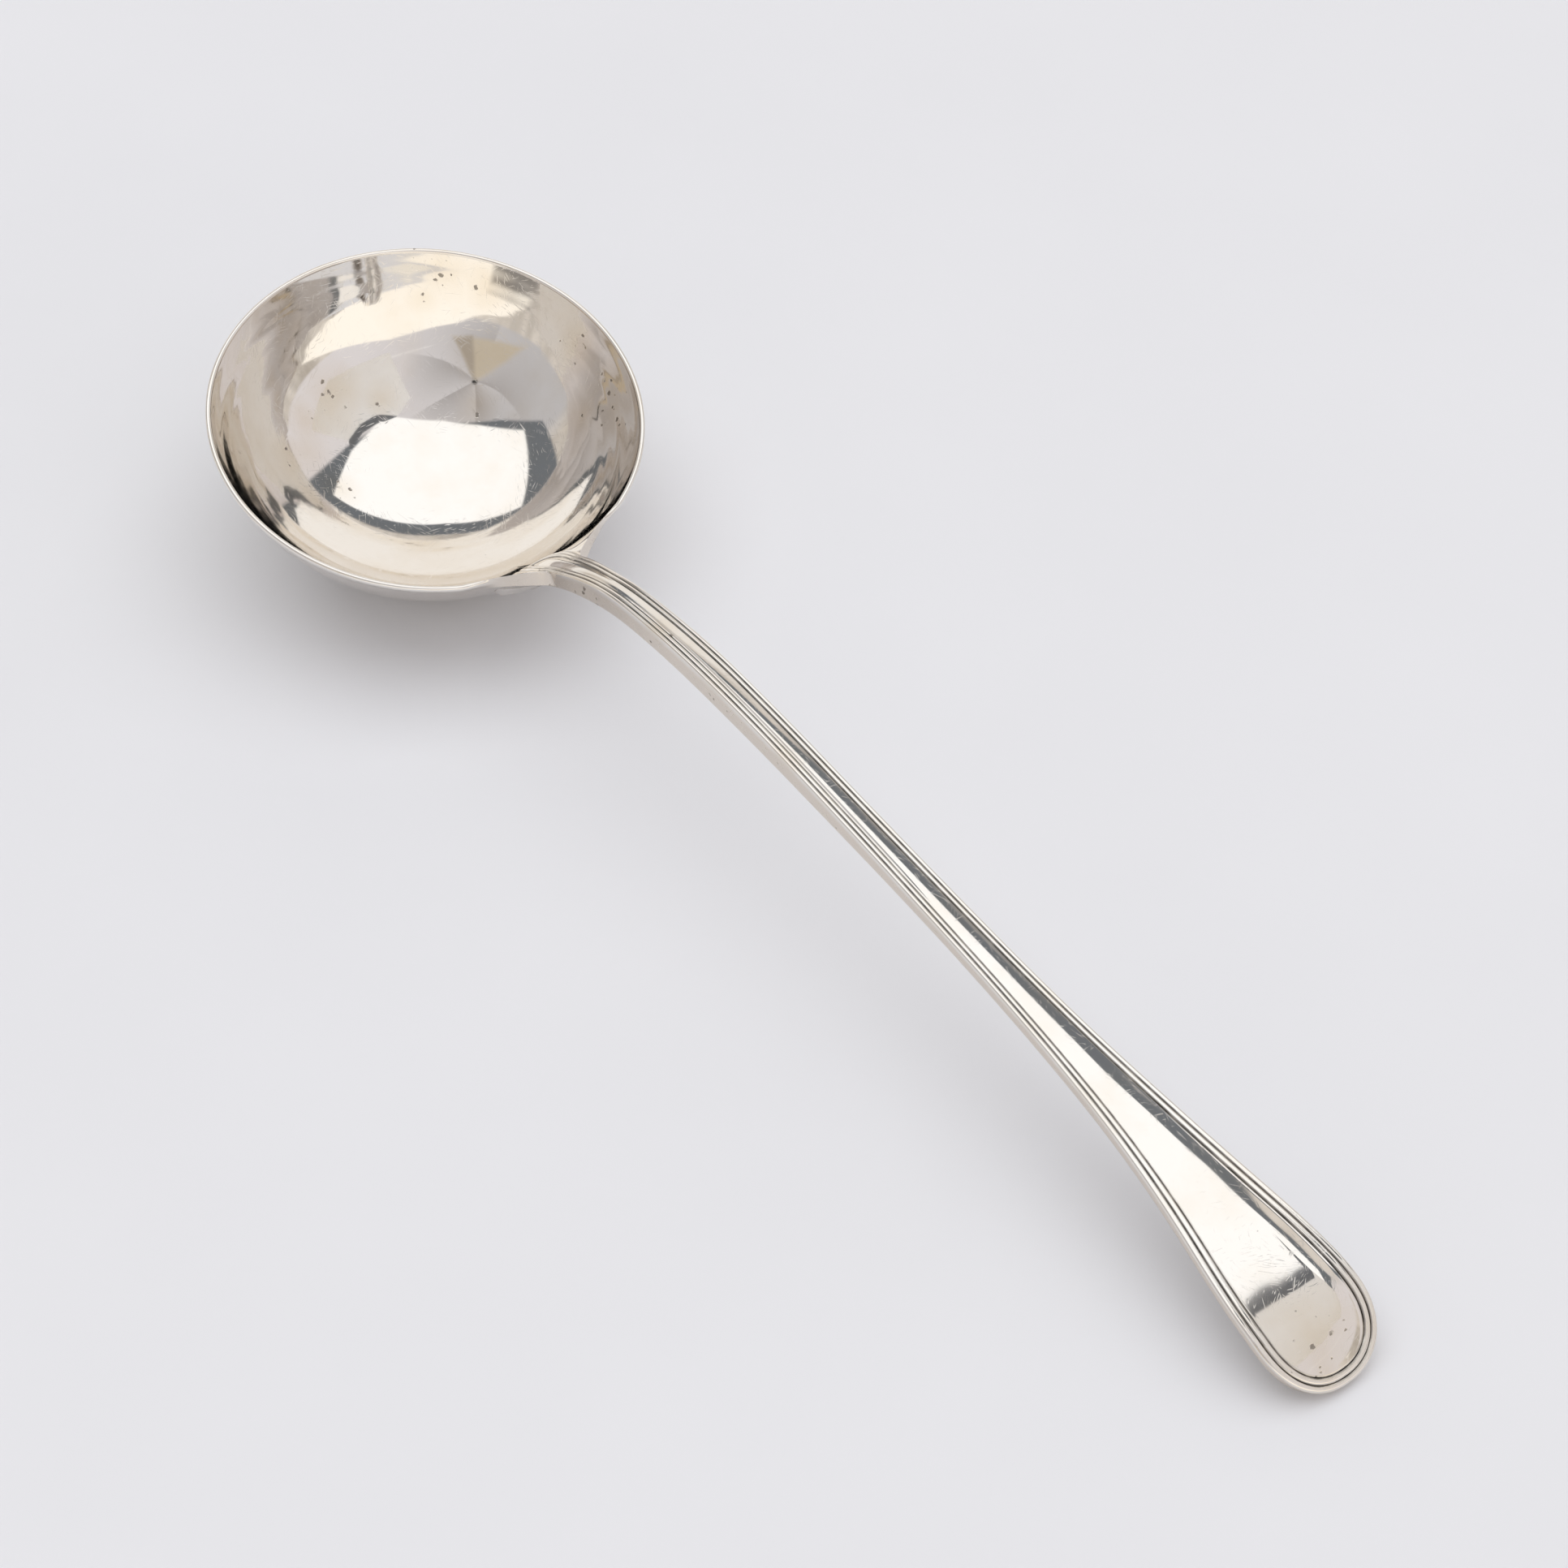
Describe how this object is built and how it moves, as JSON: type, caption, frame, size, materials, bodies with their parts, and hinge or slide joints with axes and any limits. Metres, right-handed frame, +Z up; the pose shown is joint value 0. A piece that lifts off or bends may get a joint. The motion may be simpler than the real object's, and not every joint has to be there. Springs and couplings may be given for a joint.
{
  "type": "soup ladle",
  "caption": "Silver soup ladle with a round deep bowl, a slender arched handle edged with struck threads, and a flared, turned-down rounded tip.",
  "frame": {"origin": "middle of the small flat under the bowl, on the table plane", "axes": "+X from the bowl toward the tip of the handle, +Y across, +Z up"},
  "size_m": [0.3474, 0.0958, 0.043],
  "materials": {
    "bowl_silver": "polished silver, raised and planished",
    "handle_silver": "polished silver, forged, threads struck along both edges",
    "drop_silver": "polished silver, a little dulled",
    "seam_solder": "hard silver solder, filed flush and pitted"
  },
  "bodies": {
    "root": {"bowl": "bowl_silver", "handle": "handle_silver", "heel_drop": "drop_silver", "solder_seam": "seam_solder"}
  },
  "joints": []
}
